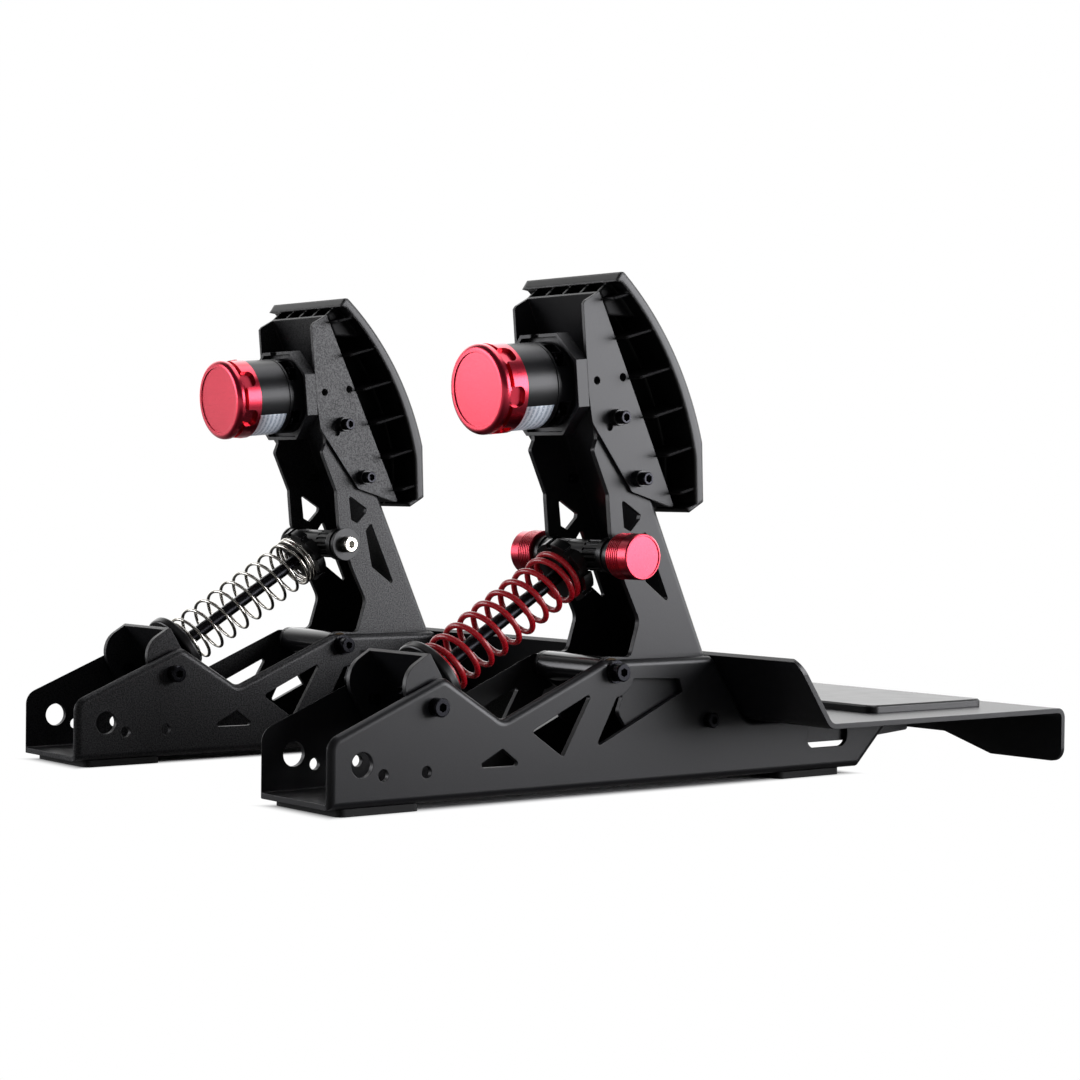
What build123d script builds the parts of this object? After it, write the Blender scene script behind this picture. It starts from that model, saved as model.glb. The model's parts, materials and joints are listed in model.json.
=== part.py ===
from build123d import *
import math
import os

# Clearances and overruns, in millimetres
gap = 0.3
running_fit = 0.05
overrun = 1.0

# Layout of the two pedal modules and of the whole set
module_spacing = 265.0
overall_length = 484.0
foot_height = 4.0
front = overall_length / 2

# Frame channel
frame_width = 66.0
frame_length = 376.5
side_height = 69.5
sheet = 3.0
bend_radius = 4.0
inner_bend = 1.0
tail_overhang = 32.5
inner_width = frame_width - 2 * sheet
frame_top_shares = [(0.0, 0.507), (0.189, 0.935), (0.292, 0.58), (0.474, 1.0)]
nose_round = 9.0
peak_round = 8.0
notch_round = 6.0
corner_round = 4.0
rear_round = 7.0
small_round = 2.0

# Holes and cut-outs in the frame's side plates
front_hole_back = 20.0
front_hole_up = 22.0
front_hole_radius = 6.65
side_hole_radius = 3.2
side_hole_up = 16.0
side_hole_backs = (33.0, 60.0)
small_triangle_shares = [(0.241, 0.23), (0.29, 0.367), (0.325, 0.226)]
large_triangle_shares = [(0.34, 0.482), (0.453, 0.76), (0.399, 0.265)]
window_shares = [(0.458, 0.317), (0.4975, 0.708), (0.531, 0.848), (0.618, 0.83), (0.626, 0.721)]
cutout_round = 1.5
cable_port_backs = (333.0, 366.0)
cable_port_ups = (12.9, 27.0)
cable_port_round = 6.0

# Pivots of the pedal arm and of the strut
pivot_back = 186.0
pivot_up = 63.0
pivot_boss = 14.0
shaft_set_back = 4.0
shaft_up = 63.0
strut_foot_back = 65.5
strut_foot_up = 49.3

# Screws: shank and head radii, head height, socket
m6_shank = 3.0
m6_head = 5.0
m6_head_height = 6.0
m6_socket = 2.5
m5_shank = 2.5
m5_head = 4.25
m5_head_height = 5.0
m5_socket = 2.3
m4_shank = 2.0
m4_head = 3.2
m4_head_height = 5.5
m4_socket = 1.73
head_chamfer_share = 0.1
bolt_clearance = 0.3
screw_flange = 6.2
screw_flange_height = 1.5
screw_reach = 16.0
shaft_screw_reach = 12.0
strut_bolt_end = 4.0
frame_bolt_grip = 9.0

# Pivot axle, bushes and hub tube
axle_radius = 5.0
bush_radius = 6.0
bush_flange = 7.4
bush_flange_height = 0.9
hub_radius = 8.0

# Pedal arm, its outline as shares of the arm's length above the pivot
arm_width = 57.7
arm_length = 143.0
arm_shares = [
    (0.087, 1.0), (0.079, 0.883), (0.096, 0.843), (0.018, 0.674), (0.017, 0.654),
    (0.004, 0.522), (-0.068, 0.338), (-0.145, 0.19), (-0.101, 0.05), (0.0, 0.056),
    (0.0, -0.056), (-0.066, -0.094), (-0.041, -0.159), (-0.075, -0.208),
    (-0.126, -0.245), (-0.252, -0.231), (-0.494, 0.049), (-0.053, 1.0),
]
arm_corner_shares = [
    0.03, 0.02, 0.02, 0.01, 0.01, 0.04, 0.06, 0.06, 0.03, 0.0,
    0.0, 0.02, 0.03, 0.03, 0.03, 0.06, 0.0, 0.0,
]
arm_upper_hole_shares = [
    (-0.0455, 0.657), (-0.143, 0.598), (-0.1385, 0.58), (-0.092, 0.533), (-0.059, 0.548),
]
arm_long_hole_shares = [(-0.166, 0.537), (-0.138, 0.5), (-0.173, 0.339), (-0.299, 0.25)]
arm_hole_round = 1.2
arm_lobe = 9.3
arm_half = arm_width / 2
arm_inner_half = arm_half - sheet

# Pad bracket, its outline as shares of the pad's height from the bracket's low rear corner
pad_height = 130.0
bracket_width = 62.0
bracket_sheet = 2.0
bracket_rise = 89.1
bracket_set_back = 43.4
bracket_shares = [
    (0.0, 0.0), (0.241, 0.0685), (0.26, 0.095), (0.462, 0.355), (0.484, 0.477),
    (0.518, 0.845), (0.506, 0.86), (0.44, 0.897), (0.4346, 0.902),
]
bracket_corner_shares = [0.01, 0.02, 0.03, 0.05, 0.1, 0.005, 0.005, 0.002, 0.002]
bracket_pin_shares = [(0.44, 0.53), (0.299, 0.549), (0.368, 0.339)]
bracket_screw_shares = [(0.338, 0.379), (0.211, 0.125)]
bracket_pin_radius = 2.2
bracket_head = 3.6
spacer_radius = 4.6
spacer_height = 4.5

# Foot pad: a curved face on ribs
pad_width = 82.0
pad_rib = 2.0
pad_level_rib = 1.4
pad_rib_inset = 1.0
pad_edge_round = 3.0
pad_rib_shares = (0.07, 0.245, 0.425, 0.604, 0.785, 0.96)
pad_rib_rise = 16.0
pad_upright_count = 5
pad_full_upright_count = 3
pad_gusset_height = 13.0
pad_upright_pitch = 15.0
pad_back_shares = [
    (-0.014, -0.016), (-0.107, 0.037), (-0.097, 0.282), (0.0577, 0.64), (0.341, 0.972),
    (0.361, 0.98), (0.38, 0.98),
]
pad_inner_shares = [(-0.055, 0.02), (-0.046, 0.22), (0.11, 0.62), (0.375, 0.935), (0.46, 0.947)]
pad_rib_end_shares = [(0.385, 0.945)]
pad_front_shares = [(0.0, 0.0), (0.4346, 0.902)]

# Motor: distances run back from the face of its cap
motor_tilt = 5.3
motor_rise = 5.5
cap_radius = 24.5
cap_bead = 4.5
cap_bead_round = 3.0
cap_waist = 2.4
cap_waist_width = 2.6
cap_length = 16.5
cap_rim = 4.4
cap_dish = 0.6
cap_pocket_count = 6
cap_pocket_width = 11.0
cap_pocket_depth = 2.6
cap_pocket_round = 3.5
cap_land = 2.4
cap_hollow = 12.0
cap_hollow_depth = 4.0
motor_radius = 23.5
motor_length = 50.3
motor_seam = 38.0
motor_seam_width = 0.5
motor_seam_depth = 0.4
motor_wall = 3.0
motor_end_wall = 5.0
motor_notch_width = 17.0
motor_notch_depth = 7.2
motor_notch_round = 2.5
motor_screw_circle = 20.3
motor_screw_count = 4
rotor_shaft = 2.5
rotor_radius = 17.0
rotor_length = 16.0
tray_width = 62.0
tray_height = 55.5
tray_chamfer = 15.0
tray_sheet = 2.0
tray_rim = 5.5
tray_notch_width = 7.0
tray_notch_offset = 3.5

# Cross shaft, sleeves and collars at the top of the strut
shaft_radius = 5.0
eye_radius = 8.6
eye_width = 16.0
sleeve_radius = 8.8
sleeve_groove = 0.9
sleeve_rib_count = 16
boss_radius = 10.2
boss_length = 4.0
knob_radius = 12.65
knob_length = 17.3
knob_bore_depth = 13.0
knob_groove = 0.5
knob_groove_count = 6
knob_groove_pitch = 1.6
knob_groove_start = 1.2
knob_rim = 1.3
knob_dish = 0.5
knob_chamfer = 0.6

# Strut: distances run up its axis from the foot pivot
yoke_width = 54.0
yoke_half_depth = 23.3
yoke_nose = 9.5
yoke_seat = 14.5
yoke_round = 14.0
yoke_boss = 6.0
rod_radius = 4.0
rod_tail = 2.5
rod_nut = 6.5
rod_nut_height = 6.0
rod_head = 139.4
cup_radius = 22.0
cup_base = 20.0
cup_seat = 26.0
cup_hub = 12.0
cup_round = 1.5
cup_pilot = 3.0
load_cell_radius = 16.0
ring_slot_count = 8
ring_slot_width = 4.0
ring_slot_depth = 2.5
neck_radius = 7.0

# What differs between the brake and the throttle
modules = {
    "brake": {
        "centre": -module_spacing / 2, "coil_radius": 14.3, "wire": 3.0, "turns": 10.5,
        "low_closed": 0.75, "high_closed": 0.5, "start_angle": 65.0, "ring_radius": 18.5,
        "ring_base": 127.2, "ring_height": 6.3, "bore_play": 0.45, "collar": 4.0, "cap_phase": -12.0,
    },
    "throttle": {
        "centre": module_spacing / 2, "coil_radius": 15.0, "wire": 2.0, "turns": 12.5,
        "low_closed": 1.0, "high_closed": 2.0, "start_angle": 191.0, "ring_radius": 17.5,
        "ring_base": 129.6, "ring_height": 5.4, "bore_play": 0.65, "collar": 1.5, "cap_phase": 30.0,
    },
}
closed_gap = 0.6
spring_ramp = 1.0
heading_step = 0.0001
measure_steps = 60
measure_from = 0.6
measure_to = 1.6

# Heel plate: one folded sheet across both modules, with a mat on it
heel_width = 462.0
heel_up = 31.8
heel_foot_back = 286.0
heel_lean = 26.3
heel_bend = 9.0
heel_skirt_up = 2.6
heel_skirt_arch_up = 13.5
heel_leg_width = 55.0
heel_leg_slope = 38.0
heel_top_round = 10.0
heel_low_round = 8.0
mat_width = 394.0
mat_front_back = 354.0
mat_depth = 96.0
mat_height = 4.5
mat_round = 6.0
mat_chamfer = 1.0

# Brackets and screws under the heel plate
bracket_nose_back = 246.0
bracket_tail_back = 421.0
frame_bolt_back = 255.3
frame_bolt_up = 33.5
heel_bracket_low_up = 16.0
heel_bracket_side = 0.3
heel_bracket_ear = 7.5
heel_bracket_tail = 12.3
heel_head_height = 2.8
heel_screw_backs = (302.0, 336.0)
heel_screw_half = 18.0
heel_screw_grip = 9.0

# Rubber feet and sensor housings
foot_length = 50.0
foot_inset = 2.5
foot_backs = (8.0, 313.0)
foot_round = 4.0
sensor_length = 24.0
sensor_width = 16.0
sensor_height = 12.0
sensor_back = 203.0


# A point of a module's side view, from its distance behind the front and above the sheet
def side_point(back, up):
    return (front - back, foot_height + up)


pivot = side_point(pivot_back, pivot_up)
shaft = side_point(pivot_back + shaft_set_back, pivot_up + shaft_up)
strut_foot = side_point(strut_foot_back, strut_foot_up)
bracket_foot = (pivot[0] - bracket_set_back, pivot[1] + bracket_rise)
strut_length = math.dist(strut_foot, shaft)
strut_run = (shaft[0] - strut_foot[0]) / strut_length
strut_rise = (shaft[1] - strut_foot[1]) / strut_length
motor_angle = math.radians(motor_tilt)


# Points placed by shares of a length and a height from a corner
def placed(shares, corner, length, height):
    return [(corner[0] + a * length, corner[1] + b * height) for a, b in shares]


# Points of the frame's side, with shares that run back and up
def frame_points(shares):
    return [side_point(a * frame_length, b * side_height) for a, b in shares]


# The plane across the strut's axis, a distance up from the strut's foot
def strut_plane(centre, distance):
    foot = Plane(
        origin=(centre, *strut_foot), x_dir=(1, 0, 0), z_dir=(0, strut_run, strut_rise)
    )
    return foot.offset(distance)


# The plane behind the motor tray, facing forward along the motor's axis
def motor_plane(centre, distance_from_tray):
    edge = placed([bracket_shares[4]], bracket_foot, pad_height, pad_height)[0]
    along = (math.cos(motor_angle), -math.sin(motor_angle))
    rise = (math.sin(motor_angle), math.cos(motor_angle))
    middle = (edge[0] + motor_rise * rise[0], edge[1] + motor_rise * rise[1])
    back_plane = Plane(origin=(centre, *middle), x_dir=(-1, 0, 0), z_dir=(0, *along))
    return back_plane.offset(distance_from_tray)


# Writes one finished sub-part
def save(piece, name):
    piece.label = name
    export_step(piece, "parts/" + name + ".step")


# One folded channel with the cut-outs of its two side plates
def make_frame(name, centre):
    heel_clear = 2 * gap
    points = frame_points([(0, 0)] + frame_top_shares) + [
        side_point(heel_foot_back - heel_lean - heel_clear, side_height),
        side_point(heel_foot_back - heel_clear, heel_up),
        side_point(frame_length + tail_overhang, heel_up),
        side_point(frame_length, 0),
    ]
    radii = [
        0, nose_round, peak_round, notch_round, corner_round, rear_round,
        heel_bend, small_round, small_round,
    ]
    channel_low = foot_height + sheet
    channel_high = foot_height + side_height + overrun
    half = inner_width / 2
    with BuildPart() as frame:
        with BuildSketch(Plane.YZ.offset(centre - frame_width / 2)):
            with BuildLine():
                FilletPolyline(*points, radius=radii, close=True)
            make_face()
        extrude(amount=frame_width)
        fillet(frame.edges().filter_by(Axis.Y).group_by(Axis.Z)[0], bend_radius)
        with BuildSketch(Plane.XZ.offset(-front - overrun)):
            with BuildLine():
                FilletPolyline(
                    (centre - half, channel_low), (centre + half, channel_low),
                    (centre + half, channel_high), (centre - half, channel_high),
                    radius=[inner_bend, inner_bend, 0, 0], close=True,
                )
            make_face()
        extrude(amount=overall_length, mode=Mode.SUBTRACT)
        with BuildSketch(Plane.YZ.offset(centre - frame_width / 2 - overrun)):
            for shares in (small_triangle_shares, large_triangle_shares, window_shares):
                with BuildLine():
                    FilletPolyline(*frame_points(shares), radius=cutout_round, close=True)
                make_face()
            with Locations(pivot):
                Circle(pivot_boss, mode=Mode.SUBTRACT)
            port_low = side_point(cable_port_backs[0], cable_port_ups[0])
            port_high = side_point(cable_port_backs[1], cable_port_ups[1])
            with Locations(((port_low[0] + port_high[0]) / 2, (port_low[1] + port_high[1]) / 2)):
                RectangleRounded(
                    port_low[0] - port_high[0], port_high[1] - port_low[1], cable_port_round
                )
            with Locations(pivot, strut_foot):
                Circle(m6_shank + bolt_clearance)
            with Locations(side_point(frame_bolt_back, frame_bolt_up)):
                Circle(m5_shank + bolt_clearance)
            with Locations(side_point(front_hole_back, front_hole_up)):
                Circle(front_hole_radius)
            with Locations([side_point(back, side_hole_up) for back in side_hole_backs]):
                Circle(side_hole_radius)
        extrude(amount=frame_width + 2 * overrun, mode=Mode.SUBTRACT)
    save(frame.part, name + "_frame")


# The pedal arm: one folded channel with its web behind and its front open
def make_arm(name, centre):
    points = placed(arm_shares, pivot, arm_length, arm_length)
    radii = [share * arm_length for share in arm_corner_shares]
    screws = placed(bracket_screw_shares, bracket_foot, pad_height, pad_height)
    low = Vector(*points[-2])
    high = Vector(*points[-1])
    web = (high - low).normalized()
    forward = Vector(web.Y, -web.X)
    inner_low = low + forward * sheet - web * arm_length
    inner_high = high + forward * sheet + web * arm_length
    reach = forward * 2 * arm_length
    middle = (low + high) / 2
    with BuildPart() as arm:
        with BuildSketch(Plane.YZ.offset(centre - arm_half)):
            with BuildLine():
                FilletPolyline(*points, radius=radii, close=True)
            make_face()
            with Locations(pivot):
                Circle(hub_radius)
            with Locations(shaft):
                Circle(arm_lobe)
        extrude(amount=arm_width)
        bends = [
            arm.edges().sort_by_distance((centre + side * arm_half, middle.X, middle.Y))[0]
            for side in (-1, 1)
        ]
        fillet(bends, bend_radius)
        with BuildSketch(Plane.YZ.offset(centre - arm_inner_half)):
            with BuildLine():
                Polyline(
                    inner_low, inner_high, inner_high + reach, inner_low + reach, close=True
                )
            make_face()
        extrude(amount=2 * arm_inner_half, mode=Mode.SUBTRACT)
        with BuildSketch(Plane.YZ.offset(centre - arm_width)):
            for shares in (arm_upper_hole_shares, arm_long_hole_shares):
                with BuildLine():
                    hole = placed(shares, pivot, arm_length, arm_length)
                    FilletPolyline(*hole, radius=arm_hole_round, close=True)
                make_face()
            with Locations(pivot):
                Circle(bush_radius + running_fit)
            with Locations(shaft):
                Circle(shaft_radius + running_fit)
            with Locations(screws):
                Circle(m5_shank + running_fit)
        extrude(amount=2 * arm_width, mode=Mode.SUBTRACT)
    save(arm.part, name + "_pedal_arm")


# Two flanged bushes that carry the arm on the axle
def make_bushes(name, centre):
    with BuildPart() as bushes:
        for side in (-1, 1):
            inner = Plane.YZ.offset(centre + side * (arm_inner_half - gap))
            with BuildSketch(inner):
                with Locations(pivot):
                    Circle(bush_radius)
            extrude(amount=side * (sheet + gap))
            with BuildSketch(Plane.YZ.offset(centre + side * arm_half)):
                with Locations(pivot):
                    Circle(bush_flange)
            extrude(amount=side * bush_flange_height)
        with BuildSketch(Plane.YZ.offset(centre - frame_width)):
            with Locations(pivot):
                Circle(axle_radius + running_fit)
        extrude(amount=2 * frame_width, mode=Mode.SUBTRACT)
    save(bushes.part, name + "_pivot_bushes")


# The hub tube that holds the arm's two sides apart round the axle
def make_hub(name, centre):
    half = arm_inner_half - gap
    with BuildPart() as hub:
        with BuildSketch(Plane.YZ.offset(centre - half)):
            with Locations(pivot):
                Circle(hub_radius)
                Circle(axle_radius + gap, mode=Mode.SUBTRACT)
        extrude(amount=2 * half)
    save(hub.part, name + "_pivot_tube")


# The folded bracket that carries the foot pad and the motor tray
def make_bracket(name, centre):
    points = placed(bracket_shares, bracket_foot, pad_height, pad_height)
    radii = [share * pad_height for share in bracket_corner_shares]
    pins = placed(bracket_pin_shares, bracket_foot, pad_height, pad_height)
    screws = placed(bracket_screw_shares, bracket_foot, pad_height, pad_height)
    low, high = placed(pad_front_shares, bracket_foot, pad_height, pad_height)
    web = (Vector(*high) - Vector(*low)).normalized()
    forward = Vector(web.Y, -web.X)
    inner_low = Vector(*low) + forward * bracket_sheet - web * pad_height
    inner_high = Vector(*high) + forward * bracket_sheet + web * pad_height
    reach = forward * pad_height
    half = bracket_width / 2 - bracket_sheet
    with BuildPart() as bracket:
        with BuildSketch(Plane.YZ.offset(centre - bracket_width / 2)):
            with BuildLine():
                FilletPolyline(*points, radius=radii, close=True)
            make_face()
        extrude(amount=bracket_width)
        with BuildSketch(Plane.YZ.offset(centre - half)):
            with BuildLine():
                Polyline(
                    inner_low, inner_high, inner_high + reach, inner_low + reach, close=True
                )
            make_face()
        extrude(amount=2 * half, mode=Mode.SUBTRACT)
        with BuildSketch(Plane.YZ.offset(centre - bracket_width)):
            with Locations(pins):
                Circle(bracket_pin_radius)
            with Locations(screws):
                Circle(m5_shank + running_fit)
        extrude(amount=2 * bracket_width, mode=Mode.SUBTRACT)
    save(bracket.part, name + "_pad_bracket")


# The foot pad: a curved face, level ribs and uprights behind it, short ones near its sides
def make_pad(name, centre):
    back = placed(pad_back_shares, bracket_foot, pad_height, pad_height)
    inner = placed(pad_inner_shares, bracket_foot, pad_height, pad_height)
    rib_end = placed(pad_rib_end_shares, bracket_foot, pad_height, pad_height)[0]
    low, high = placed(pad_front_shares, bracket_foot, pad_height, pad_height)
    web = (Vector(*high) - Vector(*low)).normalized()
    behind = Vector(-web.Y, web.X) * gap
    low = Vector(*low) + behind
    high = Vector(*high) + behind
    low_back = (Vector(*back[1]) + Vector(*back[2])) / 2
    rounded = [(low_back.X, low_back.Y), back[3]]
    with BuildPart() as pad:
        with BuildSketch(Plane.YZ.offset(centre - pad_width / 2)):
            with BuildLine():
                Line(low, back[0])
                Line(back[0], back[1])
                Line(back[1], back[2])
                ThreePointArc(back[2], back[3], back[4])
                Line(back[4], back[5])
                Line(back[5], back[6])
                Line(back[6], high)
                Line(high, low)
            make_face()
        extrude(amount=pad_width)
        edges = [
            pad.edges().sort_by_distance((centre + side * pad_width / 2, *place))[0]
            for side in (-1, 1)
            for place in rounded
        ]
        fillet(edges, pad_edge_round)
        with BuildSketch(Plane.YZ.offset(centre - pad_width / 2 - overrun)):
            with BuildLine():
                Line(low, inner[0])
                Line(inner[0], inner[1])
                ThreePointArc(inner[1], inner[2], inner[3])
                Line(inner[3], inner[4])
                Line(inner[4], high)
                Line(high, low)
            make_face()
        extrude(amount=pad_width + 2 * overrun, mode=Mode.SUBTRACT)
        with BuildSketch(Plane.YZ.offset(centre - pad_width / 2 + pad_rib_inset)):
            for share in pad_rib_shares:
                with Locations(low + (high - low) * share):
                    Rectangle(
                        pad_height, pad_level_rib, rotation=180 - pad_rib_rise,
                        align=(Align.MIN, Align.CENTER),
                    )
            with BuildLine():
                Line(low, inner[0])
                Line(inner[0], inner[1])
                ThreePointArc(inner[1], inner[2], inner[3])
                Line(inner[3], rib_end)
                Line(rib_end, high)
                Line(high, low)
            make_face(mode=Mode.INTERSECT)
        extrude(amount=pad_width - 2 * pad_rib_inset)
        for step in range(pad_upright_count):
            steps_out = step - (pad_upright_count - 1) / 2
            side = centre + steps_out * pad_upright_pitch - pad_rib / 2
            with BuildSketch(Plane.YZ.offset(side)):
                with BuildLine():
                    Line(low, inner[0])
                    Line(inner[0], inner[1])
                    ThreePointArc(inner[1], inner[2], inner[3])
                    Line(inner[3], rib_end)
                    Line(rib_end, high)
                    Line(high, low)
                make_face()
                if 2 * abs(steps_out) > pad_full_upright_count:
                    with Locations(high):
                        Rectangle(pad_height, 2 * pad_gusset_height, mode=Mode.INTERSECT)
            extrude(amount=pad_rib)
    save(pad.part, name + "_pedal_pad")


# A socket screw standing on its seat: head above, shank below
def socket_screw(shank, head, head_height, socket, length, flange):
    with BuildPart() as screw:
        with BuildSketch():
            Circle(max(flange, head))
        extrude(amount=screw_flange_height if flange else head_height)
        with BuildSketch():
            Circle(head)
        extrude(amount=head_height + (screw_flange_height if flange else 0))
        top = screw.faces().sort_by(Axis.Z)[-1]
        chamfer(top.edges(), head_height * head_chamfer_share)
        with BuildSketch(Plane(top.center_location)):
            RegularPolygon(socket, 6)
        extrude(amount=-head_height / 2, mode=Mode.SUBTRACT)
        with BuildSketch():
            Circle(shank)
        extrude(amount=-length)
    return screw.part


# A plane on an outward face at one side of a module
def side_seat(x, point, side):
    return Plane(origin=(x, *point), z_dir=(side, 0, 0))


# Copies of one screw on several seats, as one group
def save_screws(screw, seats, name):
    with BuildPart() as group:
        with Locations(*seats):
            add(screw)
    save(group.part, name)


# The shallow tray that the motor stands in
def make_tray(name, centre):
    with BuildPart() as tray:
        with BuildSketch(motor_plane(centre, 0)) as plate:
            Rectangle(tray_width, tray_height)
            chamfer(plate.vertices(), tray_chamfer)
        extrude(amount=tray_sheet + tray_rim)
        with BuildSketch(motor_plane(centre, tray_sheet)) as hollow:
            Rectangle(tray_width - 2 * tray_sheet, tray_height - 2 * tray_sheet)
            chamfer(hollow.vertices(), tray_chamfer - tray_sheet / 2)
        extrude(amount=tray_rim, mode=Mode.SUBTRACT)
        with BuildSketch(motor_plane(centre, 2 * tray_sheet)):
            with Locations((-tray_notch_offset, tray_height / 2)):
                Rectangle(tray_notch_width, 3 * tray_sheet)
        extrude(amount=tray_rim, mode=Mode.SUBTRACT)
        with BuildSketch(motor_plane(centre, 0)):
            with PolarLocations(motor_screw_circle, motor_screw_count, start_angle=45):
                Circle(m4_shank + running_fit)
        extrude(amount=tray_sheet, mode=Mode.SUBTRACT)
    save(tray.part, name + "_motor_tray")


# The plane across the motor, a distance behind the face of its cap
def cap_plane(centre, back):
    return motor_plane(centre, tray_sheet + motor_length - back)


# The motor's round body with four recesses for its screws
def make_motor_body(name, centre):
    cavity_front = cap_length + motor_wall
    flange_front = motor_length - motor_wall
    with BuildPart() as body:
        with BuildSketch(cap_plane(centre, motor_length)):
            Circle(motor_radius)
        extrude(amount=motor_length - cap_length)
        with BuildSketch(cap_plane(centre, motor_seam)):
            Circle(motor_radius)
            Circle(motor_radius - motor_seam_depth, mode=Mode.SUBTRACT)
        extrude(amount=motor_seam_width, mode=Mode.SUBTRACT)
        with BuildSketch(cap_plane(centre, flange_front)):
            with PolarLocations(motor_radius, motor_screw_count, start_angle=45):
                RectangleRounded(2 * motor_notch_depth, motor_notch_width, motor_notch_round)
        extrude(amount=flange_front - motor_seam - motor_wall / 2, mode=Mode.SUBTRACT)
        with BuildSketch(cap_plane(centre, motor_length)):
            with PolarLocations(motor_screw_circle, motor_screw_count, start_angle=45):
                Circle(m4_shank + running_fit)
        extrude(amount=motor_wall, mode=Mode.SUBTRACT)
        with BuildSketch(cap_plane(centre, motor_seam - motor_seam_width)):
            Circle(motor_radius - motor_wall)
        extrude(amount=motor_seam - motor_seam_width - cavity_front, mode=Mode.SUBTRACT)
        with BuildSketch(cap_plane(centre, motor_seam + motor_end_wall)):
            Circle(rotor_shaft + running_fit)
        extrude(amount=motor_seam + motor_end_wall - cap_length, mode=Mode.SUBTRACT)
    save(body.part, name + "_motor_body")


# The off-centre weight on its shaft inside the motor
def make_rotor(name, centre):
    middle = (cap_length + motor_wall + motor_seam - motor_seam_width) / 2
    shaft_back = motor_seam + motor_end_wall - gap
    shaft_front = cap_length - cap_hollow_depth + gap
    with BuildPart() as rotor:
        with BuildSketch(cap_plane(centre, middle + rotor_length / 2)):
            Circle(rotor_radius)
            with Locations((0, rotor_radius + rotor_shaft)):
                Rectangle(2 * rotor_radius, 2 * rotor_radius, mode=Mode.SUBTRACT)
            Circle(2 * rotor_shaft)
        extrude(amount=rotor_length)
        with BuildSketch(cap_plane(centre, shaft_back)):
            Circle(rotor_shaft)
        extrude(amount=shaft_back - shaft_front)
    save(rotor.part, name + "_motor_rotor")


# The turned cap: a beaded front, a waist and six rounded pockets round its side
def make_cap(name, centre, phase):
    land = cap_bead + cap_waist_width
    pocket_length = cap_length - cap_land - cap_bead
    pocket_middle = cap_plane(centre, cap_bead + pocket_length / 2)
    with BuildPart() as cap:
        with BuildSketch(cap_plane(centre, cap_length)):
            Circle(cap_radius)
        extrude(amount=cap_length)
        front_edge = cap.faces().filter_by(GeomType.PLANE).sort_by(Axis.Y)[-1].edges()
        fillet(front_edge, cap_bead_round)
        with BuildSketch(cap_plane(centre, cap_dish)):
            Circle(cap_radius - cap_rim)
        extrude(amount=cap_dish, mode=Mode.SUBTRACT)
        with BuildSketch(cap_plane(centre, land)):
            Circle(cap_radius + overrun)
            Circle(cap_radius - cap_waist, mode=Mode.SUBTRACT)
        extrude(amount=cap_waist_width, mode=Mode.SUBTRACT)
        for step in range(cap_pocket_count):
            turn = math.radians(phase + step * 360 / cap_pocket_count)
            outward = pocket_middle.x_dir * math.cos(turn) + pocket_middle.y_dir * math.sin(turn)
            floor = pocket_middle.origin + outward * (cap_radius - cap_pocket_depth)
            with BuildSketch(Plane(origin=floor, x_dir=pocket_middle.z_dir, z_dir=outward)):
                RectangleRounded(pocket_length, cap_pocket_width, cap_pocket_round)
            extrude(amount=cap_radius, mode=Mode.SUBTRACT)
        with BuildSketch(cap_plane(centre, cap_length)):
            Circle(cap_hollow)
        extrude(amount=cap_hollow_depth, mode=Mode.SUBTRACT)
    save(cap.part, name + "_motor_cap")


# The shaft across the arm at the top of the strut
def make_shaft(name, centre, kind):
    threaded = name == "throttle"
    half = arm_half + kind["collar"] + (0 if threaded else gap + knob_bore_depth - overrun)
    with BuildPart() as cross_shaft:
        with BuildSketch(Plane.YZ.offset(centre - half)):
            with Locations(shaft):
                Circle(shaft_radius)
                if threaded:
                    Circle(m6_shank + running_fit, mode=Mode.SUBTRACT)
        extrude(amount=2 * half)
    save(cross_shaft.part, name + "_cross_shaft")


# Ribbed sleeves, with a wider boss beside each side of the arm, and the collars outside
def make_sleeves(name, centre, kind):
    inner = eye_width / 2 + gap
    rib_end = arm_inner_half - boss_length
    with BuildPart() as sleeves:
        for side in (-1, 1):
            with BuildSketch(Plane.YZ.offset(centre + side * inner)):
                with Locations(shaft):
                    Circle(sleeve_radius)
                    with PolarLocations(sleeve_radius, sleeve_rib_count):
                        Circle(sleeve_groove, mode=Mode.SUBTRACT)
            extrude(amount=side * (rib_end - inner))
            with BuildSketch(Plane.YZ.offset(centre + side * rib_end)):
                with Locations(shaft):
                    Circle(boss_radius)
            extrude(amount=side * boss_length)
        with BuildSketch(Plane.YZ.offset(centre - arm_half)):
            with Locations(shaft):
                Circle(shaft_radius + running_fit)
        extrude(amount=arm_width, mode=Mode.SUBTRACT)
    save(sleeves.part, name + "_shaft_sleeves")
    with BuildPart() as collars:
        for side in (-1, 1):
            with BuildSketch(Plane.YZ.offset(centre + side * arm_half)):
                with Locations(shaft):
                    Circle(boss_radius)
                    Circle(shaft_radius + running_fit, mode=Mode.SUBTRACT)
            extrude(amount=side * kind["collar"])
    save(collars.part, name + "_shaft_collars")


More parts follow.
